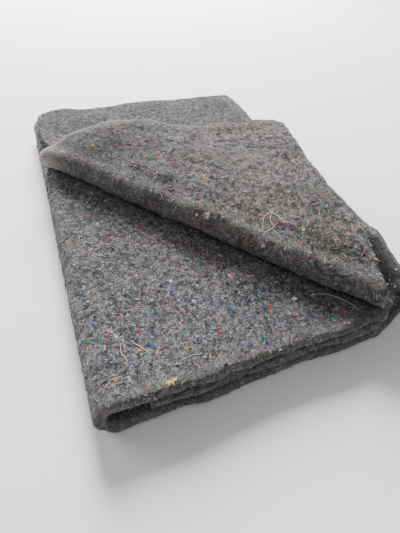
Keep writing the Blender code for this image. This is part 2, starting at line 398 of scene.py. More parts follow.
def crease_line(rolled, turned, parts):
    """Points of a line along the crease: shares of the roll and of the flap that lie before it."""
    last = CREASE_OFFSET - PANEL_CORNER @ ACROSS - FLAP_CORNER_CUT / math.sqrt(2)

    def point(along):
        roll = math.pi * roll_radius(along)
        past = rolled * roll + turned * (last - roll)
        return along * ALONG + (CREASE_OFFSET - past) * ACROSS

    def where(outside, low, high):
        for _ in range(BISECTIONS):
            middle = (low + high) / 2
            if outside(point(middle)):
                low = middle
            else:
                high = middle
        return high

    inner = PANEL_CORNER @ ALONG
    left = where(lambda spot: spot[0] < through(PANEL_LEFT_EDGE, spot[1]), inner - DEPTH, inner)
    front = where(lambda spot: spot[1] < through(PANEL_FRONT_EDGE, spot[0]), inner + WIDTH, inner)
    return [point(lerp(front, left, part)) for part in parts]


def panel_columns(parts):
    """The grid lines across the top panel, each from the front edge to the back or left edge."""
    crease_front, crease_left = crease_line(0.0, 0.0, (0.0, 1.0))
    corner = BACK_CORNER_RADIUS
    rim = RIGHT_BEND_X - PANEL_LEFT_BACK - 2 * corner + math.pi / 2 * corner + DEPTH - crease_left[1]
    columns = []
    for step in range(1, STEPS["panel"]):
        share = step / STEPS["panel"]
        front_x = lerp(RIGHT_BEND_X, crease_front[0], share)
        front = np.array([front_x, through(PANEL_FRONT_EDGE, front_x)])
        far = panel_rim(rim * share)
        columns.append([lerp(front, far, part) for part in parts])
    for step in range(STEPS["roll"]):
        columns.append(crease_line(step / STEPS["roll"], 0.0, parts))
    for step in range(STEPS["flap"] + 1):
        columns.append(crease_line(1.0, step / STEPS["flap"], parts))
    return columns


def flat_grid():
    """The package's flat space, column by column: run along the spiral, y, offset and place round."""
    rows = []
    for row in range(PLY_STEPS):
        rows.append((1 - row / PLY_STEPS, 0.0, 1.0))
    for row in range(NOSE_STEPS + 1):
        turned = math.pi * row / NOSE_STEPS
        rows.append((0.0, math.sin(turned), math.cos(turned)))
    for row in range(1, PLY_STEPS + 1):
        rows.append((row / PLY_STEPS, 0.0, -1.0))
    rows = np.array(rows)
    parts = rows[:, 0]
    out = rows[:, 1:2]
    side = rows[:, 2:]
    columns = []
    begin = 0.0
    for name, _, _, _, length, _ in STRETCHES:
        for step in range(STEPS[name]):
            run = begin + length * step / STEPS[name]
            columns.append([(run, lerp(FRONT, DEPTH, part)) for part in parts])
        begin += length
    columns.append([(begin, lerp(FRONT, DEPTH, part)) for part in parts])
    for column in panel_columns(parts):
        columns.append([(PANEL_START + RIGHT_BEND_X - spot[0], spot[1]) for spot in column])
    flat = np.array(columns).transpose(1, 0, 2)
    round_nose = np.arctan2(side, out) * PLY_OFFSET
    skin = np.where(out > 0, round_nose, side * (flat[..., 1] - FRONT + math.pi / 2 * PLY_OFFSET))
    reach = PLY_OFFSET + lumps(flat[..., 0], skin)
    return flat[..., 0], flat[..., 1] - out * reach, side * reach, skin


def past_crease(run, y):
    """How far past the crease a place of the flat space lies: negative before it."""
    return CREASE_OFFSET - (panel_x(run) * ACROSS[0] + y * ACROSS[1])


def along_crease(run, y):
    """The share of the crease's length, from its left end, that a place lies beside."""
    x = panel_x(run)
    left = CREASE_LEFT_END @ ALONG
    return (x * ALONG[0] + y * ALONG[1] - left) / (CREASE_RIGHT_END @ ALONG - left)


def quick_mesh(name, points, faces):
    mesh = bpy.data.meshes.new(name)
    mesh.from_pydata([tuple(point) for point in points], [], faces)
    mesh.update()
    item = bpy.data.objects.new(name, mesh)
    bpy.context.scene.collection.objects.link(item)
    return item


class Nodes:
    """Short calls for the nodes of one material."""

    # Sockets of the Mix node's colours
    FIRST = 6
    SECOND = 7
    MIXED = 2

    def __init__(self, name):
        self.material = bpy.data.materials.new(name)
        self.material.use_nodes = True
        self.tree = self.material.node_tree
        self.place = self.add("ShaderNodeTexCoord").outputs["Object"]

    def fill(self, sockets, sources):
        """Gives each named or numbered socket a constant or another node's output."""
        for name, source in sources.items():
            if isinstance(source, bpy.types.NodeSocket):
                self.tree.links.new(source, sockets[name])
            else:
                sockets[name].default_value = source

    def add(self, kind, sources=None, **settings):
        node = self.tree.nodes.new(kind)
        for name, value in settings.items():
            setattr(node, name, value)
        self.fill(node.inputs, sources or {})
        return node

    def surface(self, sources):
        """Fills the shader's own sockets and returns the finished material."""
        self.fill(self.tree.nodes["Principled BSDF"].inputs, sources)
        return self.material

    def attribute(self, name, output="Fac"):
        return self.add("ShaderNodeAttribute", attribute_name=name).outputs[output]

    def shifted(self, x, y, z):
        return self.add("ShaderNodeVectorMath", {0: self.place, 1: (x, y, z)}, operation="ADD").outputs[0]

    def noise(self, scale, detail=2.0, rough_share=0.5, distortion=0.0, shift=(0.0, 0.0, 0.0)):
        sources = {
            "Vector": self.shifted(*shift),
            "Scale": scale,
            "Detail": detail,
            "Roughness": rough_share,
            "Distortion": distortion,
        }
        return self.add("ShaderNodeTexNoise", sources).outputs["Fac"]

    def math(self, operation, first, second=0.0):
        return self.add("ShaderNodeMath", {0: first, 1: second}, operation=operation).outputs[0]

    def range(self, value, low, high, to_low=0.0, to_high=1.0):
        sources = {
            "Value": value,
            "From Min": low,
            "From Max": high,
            "To Min": to_low,
            "To Max": to_high,
        }
        node = self.add("ShaderNodeMapRange", sources, interpolation_type="SMOOTHSTEP")
        return node.outputs["Result"]

    def mix(self, share, first, second, blend="MIX"):
        sources = {0: share, self.FIRST: first, self.SECOND: second}
        node = self.add("ShaderNodeMix", sources, data_type="RGBA", blend_type=blend)
        return node.outputs[self.MIXED]

    def times(self, first, second):
        return self.mix(1.0, first, second, "MULTIPLY")

    def grey(self, value):
        sources = dict.fromkeys(("Red", "Green", "Blue"), value)
        return self.add("ShaderNodeCombineColor", sources).outputs[0]

    def ramp(self, value, colours):
        """One of the colours, by steps of the value."""
        node = self.add("ShaderNodeValToRGB", {0: value})
        node.color_ramp.interpolation = "CONSTANT"
        stops = node.color_ramp.elements
        for number, (red, green, blue) in enumerate(colours):
            stop = stops[number] if number < 2 else stops.new(number / len(colours))
            stop.position = number / len(colours)
            stop.color = (red, green, blue, 1.0)
        return node.outputs[0]

    def cells(self, scale, place):
        """Voronoi cells: the distance to a cell's middle, and three random numbers of the cell."""
        cell = self.add("ShaderNodeTexVoronoi", {"Vector": place, "Scale": scale}, feature="F1")
        parts = self.add("ShaderNodeSeparateColor", {0: cell.outputs["Color"]}, mode="RGB")
        return cell.outputs["Distance"], parts.outputs


DARK_FIBRE = (0.008, 0.008, 0.010, 1.0)
MID_FIBRE = (0.0505, 0.051, 0.054, 1.0)
LIGHT_FIBRE = (0.194, 0.196, 0.202, 1.0)
# Pale combed fibre, which also serves as painted highlight at the roll's left tip and along the flap's
# upper rim
COMBED_AND_HIGHLIT_FELT = (0.25, 0.25, 0.252, 1.0)
SPECK = (0.005, 0.005, 0.007, 1.0)
PALE_CURL = (0.47, 0.46, 0.44, 1.0)
WARM_TONE = (1.03, 1.00, 0.965, 1.0)
COOL_TONE = (0.98, 0.99, 1.035, 1.0)
# A brownish worn colour for the lower front folds, lighter than the felt as painted light on the front
# faces
WORN_AND_LIT_FELT = (0.160, 0.153, 0.144, 1.0)
TURNED_TONE = (1.05, 1.00, 0.955, 1.0)
TINTS = (
    # red, green, blue
    (1.10, 0.95, 1.02),
    (0.95, 1.04, 0.98),
    (0.96, 0.98, 1.10),
    (1.08, 1.00, 0.90),
)
FLECK_COLOURS = (
    # red, green, blue
    (0.50, 0.02, 0.05),
    (0.01, 0.26, 0.17),
    (0.02, 0.26, 0.42),
    (0.62, 0.22, 0.05),
    (0.03, 0.05, 0.32),
    (0.02, 0.24, 0.14),
    (0.05, 0.18, 0.36),
    (0.62, 0.16, 0.30),
    (0.66, 0.56, 0.24),
    (0.36, 0.06, 0.04),
    (0.008, 0.008, 0.010),
    (0.80, 0.79, 0.77),
    (0.03, 0.30, 0.28),
    (0.60, 0.04, 0.10),
)
FLECK_LAYERS = (
    # cells a metre, reach in cells, share of cells with a fleck, shift
    (70.0, 0.17, 0.24, 0.0),
    (125.0, 0.22, 0.26, 3.1),
    (210.0, 0.28, 0.24, 7.7),
)
FLECK_WOBBLE = 2.5
FLECK_WARP = 0.9
FLECK_CORE = 0.75
FLECK_STRENGTH = 0.72
TINT_CELLS = 260.0
TINT_SHIFT = (2.0, 5.0, 1.0)
FELT_NOISE = {
    # scale, detail, roughness, distortion, shift
    "grain": (410.0, 4.0, 0.72, 0.8),
    "clump": (190.0, 2.0, 0.55, 0.9, (5.0, 1.0, 2.0)),
    "patches": (28.0, 2.0, 0.5, 0.3, (3.0, 2.0, 6.0)),
    "coarse": (115.0, 1.0, 0.5, 0.6, (7.0, 3.0, 5.0)),
    "lumpy": (95.0, 2.0, 0.6, 0.8, (9.0, 5.0, 2.0)),
    "spots": (230.0, 1.0, 0.5, 0.5, (4.0, 6.0, 9.0)),
    "curl breaks": (110.0, 1.0, 0.5, 0.0, (0.0, 4.0, 8.0)),
    "warmth": (6.0, 2.0, 0.5, 0.2, (1.0, 9.0, 4.0)),
    "shade": (11.0, 2.0, 0.5, 0.2, (8.0, 3.0, 1.0)),
}
FELT_RANGES = {
    # from low, from high, to low, to high: without the last two it is 0 to 1
    "patches": (0.3, 0.7, -0.012, 0.012),
    "coarse": (0.36, 0.64, -0.022, 0.018),
    "lumpy": (0.34, 0.66, -0.034, 0.030),
    "dark to middle": (0.385, 0.485),
    "middle to light": (0.505, 0.615),
    "dark spots": (0.30, 0.36, 0.65, 0.0),
    "pale spots": (0.665, 0.71, 0.0, 0.6),
    "curl breaks": (0.43, 0.56),
    "combed_and_highlit_share": (0.25, 0.75, 0.95, 0.60),
    "fine": (0.36, 0.64, 0.75, 1.25),
    "warmth": (0.38, 0.62),
    "shade": (0.3, 0.7, 0.86, 1.14),
}
GRAIN_SHARE = 0.76
CLUMP_SHARE = 0.24
CURL_DETAIL = 2.0
CURL_ROUGHNESS = 0.5
CURL_DISTORTION = 1.6
DARK_CURLS = (
    # scale, width, shift
    (90.0, 0.016, (23.0, 2.0, 1.0)),
    (140.0, 0.020, (27.0, 2.0, 1.0)),
)
PALE_CURLS = (
    # scale, width, shift
    (95.0, 0.015, (2.0, 0.0, 1.0)),
    (150.0, 0.018, (6.0, 0.0, 1.0)),
    (64.0, 0.010, (11.0, 0.0, 1.0)),
    (125.0, 0.016, (15.0, 0.0, 1.0)),
)
DARK_CURL_STRENGTH = 0.7
PALE_CURL_STRENGTH = 0.75
CURL_HEIGHT = 0.10
# How much of the worn colour with painted light covers the lower front folds
WORN_AND_LIT_SHARE = 0.50
BUMP_DISTANCE = 0.003
FELT_SHADER = {
    "Roughness": 1.0,
    "Specular IOR Level": 0.12,
    "Sheen Weight": 0.10,
    "Sheen Roughness": 0.6,
}


def curl_lines(felt, layers, strength):
    """Thin curly lines, where each layer's noise passes its middle value."""
    curls = None
    for scale, width, shift in layers:
        noise = felt.noise(scale, CURL_DETAIL, CURL_ROUGHNESS, CURL_DISTORTION, shift)
        line = felt.math("ABSOLUTE", felt.math("SUBTRACT", noise, 0.5))
        line = felt.range(line, 0.0, width, strength, 0.0)
        curls = line if curls is None else felt.math("MAXIMUM", curls, line)
    return curls


def with_flecks(felt, colour):
    """The colour with a fleck of coloured fibre in some of each layer's cells."""
    for scale, reach, share, shift in FLECK_LAYERS:
        wobble = felt.add("ShaderNodeTexNoise", {"Vector": felt.place, "Scale": scale * FLECK_WOBBLE})
        bend = [FLECK_WARP / scale] * 3
        sources = {0: wobble.outputs["Color"], 1: bend, 2: felt.shifted(shift, shift / 2, 0.0)}
        warp = felt.add("ShaderNodeVectorMath", sources, operation="MULTIPLY_ADD")
        distance, chances = felt.cells(scale, warp.outputs[0])
        spot = felt.range(distance, reach * FLECK_CORE, reach, 1.0, 0.0)
        chosen = felt.math("LESS_THAN", chances[1], share)
        strength = felt.math("MULTIPLY", felt.math("MULTIPLY", spot, chosen), FLECK_STRENGTH)
        colour = felt.mix(strength, colour, felt.ramp(chances[0], FLECK_COLOURS))
    return colour


def felt_material():
    """Mottled grey needled felt of recycled fibres, with curls and coloured flecks, and the painted light
    and shade that the sheet carries.
    """
    felt = Nodes("grey_felt")
    # The sheet's attributes: worn colour with painted light, combed colour with painted highlight, the
    # turned flap, and painted light and shade
    looks = ("worn_and_lit", "combed_and_highlit", "turned", "painted_light_and_shade")
    worn_and_lit, combed_and_highlit, turned, painted_light_and_shade = (felt.attribute(name) for name in looks)
    noise = {name: felt.noise(*settings) for name, settings in FELT_NOISE.items()}

    def ranged(name, value):
        return felt.range(value, *FELT_RANGES[name])

    grain = felt.math("MULTIPLY", noise["grain"], GRAIN_SHARE)
    clump = felt.math("MULTIPLY", noise["clump"], CLUMP_SHARE)
    value = felt.math("ADD", grain, clump)
    value = felt.math("ADD", value, ranged("patches", noise["patches"]))
    value = felt.math("ADD", value, ranged("coarse", noise["coarse"]))
    lumpy = ranged("lumpy", noise["lumpy"])
    value = felt.math("ADD", value, felt.math("MULTIPLY", turned, lumpy))
    colour = felt.mix(ranged("dark to middle", value), DARK_FIBRE, MID_FIBRE)
    colour = felt.mix(ranged("middle to light", value), colour, LIGHT_FIBRE)
    colour = felt.mix(ranged("dark spots", noise["spots"]), colour, SPECK)
    colour = felt.mix(ranged("pale spots", noise["spots"]), colour, PALE_CURL)
    colour = felt.mix(curl_lines(felt, DARK_CURLS, DARK_CURL_STRENGTH), colour, SPECK)
    curls = curl_lines(felt, PALE_CURLS, 1.0)
    curls = felt.math("MULTIPLY", curls, ranged("curl breaks", noise["curl breaks"]))
    colour = felt.mix(felt.math("MULTIPLY", curls, PALE_CURL_STRENGTH), colour, PALE_CURL)
    _, chances = felt.cells(TINT_CELLS, felt.shifted(*TINT_SHIFT))
    colour = felt.times(colour, felt.ramp(chances[2], TINTS))
    colour = with_flecks(felt, colour)
    fine = felt.grey(ranged("fine", value))
    # Pale combed fibre along the roll, and painted highlight at its left tip and along the flap's upper
    # rim
    combed_and_highlit_share = felt.math("MULTIPLY", combed_and_highlit, ranged("combed_and_highlit_share", noise["clump"]))
    colour = felt.mix(combed_and_highlit_share, colour, felt.times(COMBED_AND_HIGHLIT_FELT, fine))
    warmth = felt.mix(ranged("warmth", noise["warmth"]), COOL_TONE, WARM_TONE)
    colour = felt.times(colour, warmth)
    colour = felt.times(colour, felt.grey(ranged("shade", noise["shade"])))
    # The lower front folds: a brownish worn colour, made lighter as painted light on the front faces
    wear_and_light = felt.math("MULTIPLY", worn_and_lit, WORN_AND_LIT_SHARE)
    colour = felt.mix(wear_and_light, colour, felt.times(WORN_AND_LIT_FELT, fine))
    colour = felt.mix(turned, colour, felt.times(colour, TURNED_TONE))
    # Painted light and shade from the sheet: lighter at the roll's left tip and the flap's front rim,
    # darker as painted shadow and shade elsewhere
    colour = felt.times(colour, felt.grey(painted_light_and_shade))
    height = felt.math("ADD", value, felt.math("MULTIPLY", curls, CURL_HEIGHT))
    bump = felt.add("ShaderNodeBump", {"Strength": 1.0, "Distance": BUMP_DISTANCE, "Height": height})
    return felt.surface({"Base Color": colour, "Normal": bump.outputs["Normal"], **FELT_SHADER})


def fibre_material():
    """Fibres that take their colour from the mesh."""
    fibre = Nodes("felt_fibre")
    tint = fibre.attribute("tint", "Color")
    return fibre.surface({"Base Color": tint, "Roughness": 0.9, "Specular IOR Level": 0.2})


# Where the felt looks different, partly its own colour and partly painted light and shade: sizes in
# metres, and places along the crease as shares of it
CREASE_BLEND = 0.005
# The lower front folds, which get a worn colour with painted light
WORN_AND_LIT_REACH = 0.018
WORN_AND_LIT_BELOW = 0.056
# Combed fibre along the roll, stronger at its left tip as painted highlight
COMBED_AND_HIGHLIT_MIDDLE = 0.028
COMBED_AND_HIGHLIT_REACH_LEFT = 0.040
COMBED_AND_HIGHLIT_REACH_RIGHT = 0.014
COMBED_AND_HIGHLIT_AT_TIP = 0.80
COMBED_AND_HIGHLIT_BEYOND_TIP = 0.30
COMBED_AND_HIGHLIT_FADE_FROM = 0.05
COMBED_AND_HIGHLIT_FADE_TO = 0.17
COMBED_AND_HIGHLIT_AT_RIGHT = 0.5
# The flap's upper rim (the panel's turned left edge), made lighter as painted highlight
RIM_HIGHLIGHT_REACH = 0.010
RIM_HIGHLIGHT_FADE = 0.04
RIM_HIGHLIGHT_SHARE = 0.55
# The roll's left tip, made lighter as painted highlight
LIT_TIP_ALONG = 0.09
LIT_TIP_MIDDLE = 0.012
LIT_TIP_REACH = 0.045
# A patch of painted shade on the flap's left part
SHADE_PATCH_X = -0.128
SHADE_PATCH_Y = 0.097
SHADE_PATCH_REACH_X = 0.085
SHADE_PATCH_REACH_Y = 0.048
# Painted shadow on the middle layer in front of the roll
UNDER_FLAP_SHADOW_REACH = 0.058
# How much wider the groove's painted shadow is than the dip itself
GROOVE_SHADE_SPREAD = 1.45
# The flap's front rim, made lighter as painted highlight
FRONT_RIM_HIGHLIGHT_REACH = 0.010
CREASE_SHADE_FROM = 0.010
CREASE_SHADE_REACH = 0.065
# The darkest that the painted shade may make the felt
DARKEST_PAINTED_SHADE = 0.06
PAINTED_LIGHT_AND_SHADE_CHANGES = {
    # how much lighter, as painted light, or darker, as painted shade, the felt is there
    "lit_tip": 0.80,
    "painted shade patch": -0.50,
    # painted shadow in the dip beside the flap's front rim
    "groove": -0.92,
    "front rim highlight": 0.25,
    "shade beside the crease": -0.30,
    "shadow under the flap": -0.32,
    "shade on the bare panel": -0.26,
}


def felt_looks(run, y, off, skin, points):
    """For each point of the sheet: its worn colour with painted light, its combed colour with painted
    highlight, how far it is turned back, and its painted light and shade.
    """
    panel = run > PANEL_START
    flat_x = panel_x(run)
    rolled = past_crease(run, y)
    along = np.clip(along_crease(run, y), 0.0, 1.0)
    turned = smooth(rolled, -CREASE_BLEND, CREASE_BLEND) * panel
    ahead = 1 - turned
    # A brownish worn colour on the lower front folds, lightened as painted light on the front faces
    worn_and_lit = bell(skin, 0.0, WORN_AND_LIT_REACH) * ahead * (points[..., 2] < WORN_AND_LIT_BELOW)

    # Combed fibre along the roll, stronger at its left tip as painted highlight
    reach = lerp(COMBED_AND_HIGHLIT_REACH_LEFT, COMBED_AND_HIGHLIT_REACH_RIGHT, along)
    combed_and_highlit = bell(rolled, COMBED_AND_HIGHLIT_MIDDLE, reach) * panel * lerp(1.0, COMBED_AND_HIGHLIT_AT_RIGHT, along)
    beyond_tip = smooth(along, COMBED_AND_HIGHLIT_FADE_FROM, COMBED_AND_HIGHLIT_FADE_TO)
    combed_and_highlit = combed_and_highlit * lerp(COMBED_AND_HIGHLIT_AT_TIP, COMBED_AND_HIGHLIT_BEYOND_TIP, beyond_tip)
    # Painted highlight along the flap's upper rim
    rim = bell(flat_x, through(PANEL_LEFT_EDGE, y), RIM_HIGHLIGHT_REACH) * panel
    combed_and_highlit = np.maximum(combed_and_highlit, RIM_HIGHLIGHT_SHARE * rim * smooth(rolled, 0.0, RIM_HIGHLIGHT_FADE))

    # Painted highlight on the roll's left tip
    lit_tip = bell(along, 0.0, LIT_TIP_ALONG) * bell(rolled, LIT_TIP_MIDDLE, LIT_TIP_REACH) * panel
    # Painted shade on the flap's left part
    shade_patch = bell(points[..., 0], SHADE_PATCH_X, SHADE_PATCH_REACH_X) * bell(points[..., 1], SHADE_PATCH_Y, SHADE_PATCH_REACH_Y)
    # Painted shadow on the middle layer in front of the roll
    before_roll = CREASE_OFFSET - (points[..., :2] + MIDDLE[:2]) @ ACROSS - ROLL_MIDDLE
    covered = (run > START_OF["middle layer"]) & (run < START_OF["left bend"]) & (off < 0)
    from_crease = np.maximum(rolled - CREASE_SHADE_FROM, 0.0)
    places = {
        "lit_tip": lit_tip,
        "painted shade patch": shade_patch * turned,
        # painted shadow in the dip beside the flap's front rim
        "groove": groove(flat_x, y, GROOVE_REACH * GROOVE_SHADE_SPREAD) * panel * ahead,
        "front rim highlight": bell(skin, 0.0, FRONT_RIM_HIGHLIGHT_REACH) * turned,
        # painted shade on the roll and the flap, fading away from the crease
        "shade beside the crease": bell(from_crease, 0.0, CREASE_SHADE_REACH) * turned * (1 - lit_tip),
        "shadow under the flap": bell(np.maximum(before_roll, 0.0), 0.0, UNDER_FLAP_SHADOW_REACH) * covered,
        # painted shade on the panel that is not turned back
        "shade on the bare panel": panel * ahead * (1 - lit_tip),
    }
    # The painted light and shade, as one multiplier of the felt's colour
    painted_light_and_shade = 1 + sum(PAINTED_LIGHT_AND_SHADE_CHANGES[name] * share for name, share in places.items())
    return {"worn_and_lit": worn_and_lit, "combed_and_highlit": combed_and_highlit, "turned": turned, "painted_light_and_shade": np.maximum(painted_light_and_shade, DARKEST_PAINTED_SHADE)}


def blanket():
    """The fine sheet in its folds, with the felt's thickness."""
    run, y, off, skin = flat_grid()
    points = placed(run, y, off)
    points[..., 2] = np.maximum(points[..., 2], PLY / 2)
    rows, columns = run.shape
    faces = []
    for row in range(rows - 1):
        for column in range(columns - 1):
            corner = row * columns + column
            faces.append((corner, corner + 1, corner + columns + 1, corner + columns))
    sheet = quick_mesh("felt_sheet", points.reshape(-1, 3), faces)
    for name, values in felt_looks(run, y, off, skin, points).items():
        layer = sheet.data.attributes.new(name, "FLOAT", "POINT")
        layer.data.foreach_set("value", values.reshape(-1).astype(np.float32))
    sheet.data.shade_smooth()
    sheet.data.materials.append(felt_material())
    thick = sheet.modifiers.new("felt thickness", "SOLIDIFY")
    thick.thickness = PLY
    thick.offset = 0.0
    thick.use_rim = True
    return sheet


# Hairs of the felt

FIBRE_POINTS = 6
FIBRE_SIDES = 3
FIBRE_DRAW = 100
TRIES_FOR_ONE = 4
NOSE_FIBRES = 0.03
LENGTH_BIAS = 1.6
CURL_SPREAD = 0.75
CURL_SHARE = 0.6
BEND_SPREAD = 0.45
LEAST_LIFT = 0.00012
LIFT_BIAS = 1.5
LIFT_BEND = 1.6
FIBRE_DARKEST = 0.75
FIBRE_SHADES = 0.4
TUBE_TAPER = 0.75
TAPER_BEND = 3
TUBE_HINT = np.array([0.31, 0.17, 0.94])
FLOOR_CLEARANCE = 0.0006
EDGE_MARGIN = 0.002
RUN_SPARE = 0.06
LONGEST_RUN = PANEL_START + RIGHT_BEND_X + RUN_SPARE
FIBRE_GREYS = (
    # red, green, blue
    (0.54, 0.53, 0.51),
    (0.36, 0.36, 0.37),
    (0.52, 0.46, 0.38),
    (0.008, 0.008, 0.010),
    (0.28, 0.29, 0.35),
    (0.42, 0.33, 0.35),
)
FIBRE_GREY_SHARES = (0.26, 0.22, 0.07, 0.33, 0.08, 0.04)
FIBRE_KINDS = (
    # name, how many, shortest, longest, thickness, lift at the ends
    ("lying_fibres", 5000, 0.004, 0.012, 0.00032, 0.0003),
    ("standing_fibres", 4600, 0.003, 0.008, 0.00017, 0.0026),
)
SKIN_ROUND = math.pi / 2 * HALF_PACKAGE


def skin_front(run):
    """y of the front fold's middle, or of the top panel's front edge."""
    return np.where(run > PANEL_START, through(PANEL_FRONT_EDGE, panel_x(run)), FRONT)


def skin_point(run, skin, lift):
    """Real positions on the package's outer skin: along the spiral, round the nose, above the skin."""
    turned = np.clip(skin / HALF_PACKAGE, -math.pi / 2, math.pi / 2)
    flat = np.maximum(np.abs(skin) - SKIN_ROUND, 0.0)
    reach = HALF_PACKAGE + lift
    return placed(run, skin_front(run) + flat - reach * np.cos(turned), reach * np.sin(turned))


def on_felt(run, skin):
    """Whether a place on the skin is on the cloth, and on a side that can be seen."""
    y = skin_front(run) + np.maximum(np.abs(skin) - SKIN_ROUND, 0.0)
    panel = run > PANEL_START
    past = past_crease(run, y)
    kept = y < DEPTH - EDGE_MARGIN
    kept &= ~panel | (panel_x(run) > through(PANEL_LEFT_EDGE, y) + EDGE_MARGIN)
    kept &= ~panel | (past < CREASE_OFFSET - PANEL_CORNER @ ACROSS - FLAP_CORNER_CUT)
    nose = np.abs(skin) < SKIN_ROUND
    seen = np.where(panel & (past > 0), skin > 0, skin < 0)
    tucked = run < START_OF["middle layer"]
    bottom = (run > START_OF["bottom layer"]) & (run < START_OF["right bend"])
    return kept & (nose | (seen & ~(tucked | bottom)))


def walked(start, steps):
    """The starts, and where each is after each of its steps."""
    begin = np.zeros((len(start), 1))
    return start[:, None] + np.concatenate([begin, np.cumsum(steps, axis=1)], axis=1)


def anywhere(draw, count):
    """Random places on the whole skin: along the spiral, and round the nose."""
    run = draw.random(count) * LONGEST_RUN
    return run, (draw.random(count) * 2 - 1) * (DEPTH + SKIN_ROUND)


def fibre_paths(draw, count, shortest, longest, lift_end):
    """Curly paths on the felt in flat coordinates, then in place: count by points by 3."""
    paths = []
    share = np.linspace(0.0, 1.0, FIBRE_POINTS)[None]
    have = 0
    while have < count:
        run, skin = anywhere(draw, TRIES_FOR_ONE * count)
        near_nose = draw.random(len(run)) < NOSE_FIBRES
        skin = np.where(near_nose, (draw.random(len(run)) * 2 - 1) * SKIN_ROUND, skin)
        good = on_felt(run, skin)
        run, skin = run[good], skin[good]
        number = len(run)
        length = shortest + (longest - shortest) * draw.random(number) ** LENGTH_BIAS
        heading = draw.random(number) * 2 * math.pi
        curl = draw.normal(0.0, CURL_SPREAD, (number, FIBRE_POINTS - 1))
        bend = draw.normal(0.0, BEND_SPREAD, (number, 1))
        headings = heading[:, None] + np.cumsum(curl * CURL_SHARE + bend, axis=1)
        step = (length / (FIBRE_POINTS - 1))[:, None]
        runs = walked(run, np.cos(headings) * step)
        skins = walked(skin, np.sin(headings) * step)
        inside = on_felt(runs, skins).all(axis=1)
        crossings = np.abs(np.diff((runs > PANEL_START).astype(int), axis=1)).sum(axis=1)
        inside &= crossings == 0
        lift = LEAST_LIFT + lift_end * draw.random((number, 1)) ** LIFT_BIAS * share**LIFT_BEND
        points = skin_point(runs, skins, lift + lumps(runs, skins))
        points[..., 2] = np.maximum(points[..., 2], FLOOR_CLEARANCE)
        paths.append(points[inside])
        have += int(inside.sum())
    return np.concatenate(paths)[:count]


def across_path(ahead, hint):
    """Unit directions across the path."""
    side = np.cross(ahead, hint)
    return side / np.maximum(np.linalg.norm(side, axis=-1, keepdims=True), HAIR)


def tubes(name, paths, thickness, colours, look):
    """Thin tubes along the paths, as one mesh, coloured fibre by fibre."""
    count, along, _ = paths.shape
    ahead = np.gradient(paths, axis=1)
    ahead /= np.maximum(np.linalg.norm(ahead, axis=2, keepdims=True), HAIR)
    side = across_path(ahead, TUBE_HINT)
    other = np.cross(ahead, side)
    taper = 1.0 - TUBE_TAPER * np.abs(np.linspace(-1, 1, along)) ** TAPER_BEND
    radius = thickness * taper[None, :, None, None]
    angle = (np.arange(FIBRE_SIDES) * 2 * math.pi / FIBRE_SIDES)[None, None, :, None]
    ring = side[:, :, None] * np.cos(angle) + other[:, :, None] * np.sin(angle)
    points = (paths[:, :, None] + radius * ring).reshape(-1, 3)
    faces = []
    for number in range(count):
        base = number * along * FIBRE_SIDES
        for step in range(along - 1):
            first = base + step * FIBRE_SIDES
            for corner in range(FIBRE_SIDES):
                here = first + corner
                after = first + (corner + 1) % FIBRE_SIDES
                faces.append((here, after, after + FIBRE_SIDES, here + FIBRE_SIDES))
        faces.append(tuple(base + corner for corner in reversed(range(FIBRE_SIDES))))
        last = base + (along - 1) * FIBRE_SIDES
        faces.append(tuple(last + corner for corner in range(FIBRE_SIDES)))
    item = quick_mesh(name, points, faces)
    tint = item.data.color_attributes.new("tint", "FLOAT_COLOR", "POINT")
    shades = np.concatenate([colours, np.ones((count, 1))], axis=1)
    shades = np.repeat(shades, along * FIBRE_SIDES, axis=0)
    tint.data.foreach_set("color", shades.astype(np.float32).reshape(-1))
    item.data.shade_smooth()
    item.data.materials.append(look)
    return item


def fibres(look):
    """The hairy skin: fibres that lie on the felt and fibres that stand out of it."""
    made = []
    for number, (name, count, shortest, longest, thickness, lift) in enumerate(FIBRE_KINDS):
        draw = np.random.default_rng(SEED + FIBRE_DRAW + number)
        paths = fibre_paths(draw, count, shortest, longest, lift)
        pick = draw.choice(len(FIBRE_GREYS), size=count, p=FIBRE_GREY_SHARES)
        shades = FIBRE_DARKEST + FIBRE_SHADES * draw.random((count, 1))
        colours = np.clip(np.array(FIBRE_GREYS)[pick] * shades, 0, 1)
        made.append(tubes(name, paths, thickness, colours, look))
    return made


# Coloured tufts and threads


def camera_axes():
    """The camera's right, up and forward directions."""
    flat = math.cos(CAMERA_ELEVATION)
    sideways = math.sin(CAMERA_AZIMUTH) * flat
    back = np.array([sideways, -math.cos(CAMERA_AZIMUTH) * flat, math.sin(CAMERA_ELEVATION)])
    right = np.cross(-back, np.array([0.0, 0.0, 1.0]))
    right /= np.linalg.norm(right)
    up = np.cross(right, -back)
    cosine, sine = math.cos(CAMERA_ROLL), math.sin(CAMERA_ROLL)
    return cosine * right + sine * up, -sine * right + cosine * up, back


CAMERA_RIGHT, CAMERA_UP, CAMERA_BACK = camera_axes()
CAMERA_SPOT = CAMERA_PLACE - MIDDLE


def seen_at(tree, across, down):
    """The point of the felt, and its outward direction, that the camera sees at a place in the picture."""
    heading = (
        -CAMERA_BACK
        + CAMERA_RIGHT * (across - PICTURE_WIDTH / 2) / FOCAL_PIXELS
        + CAMERA_UP * (PICTURE_HEIGHT / 2 - down) / FOCAL_PIXELS
    )
    place, outward, _, _ = tree.ray_cast(Vector(CAMERA_SPOT), Vector(heading).normalized())
    if place is None:
        return None
    outward = np.array(outward)
    if outward @ heading > 0:
        outward = -outward
    return np.array(place), outward


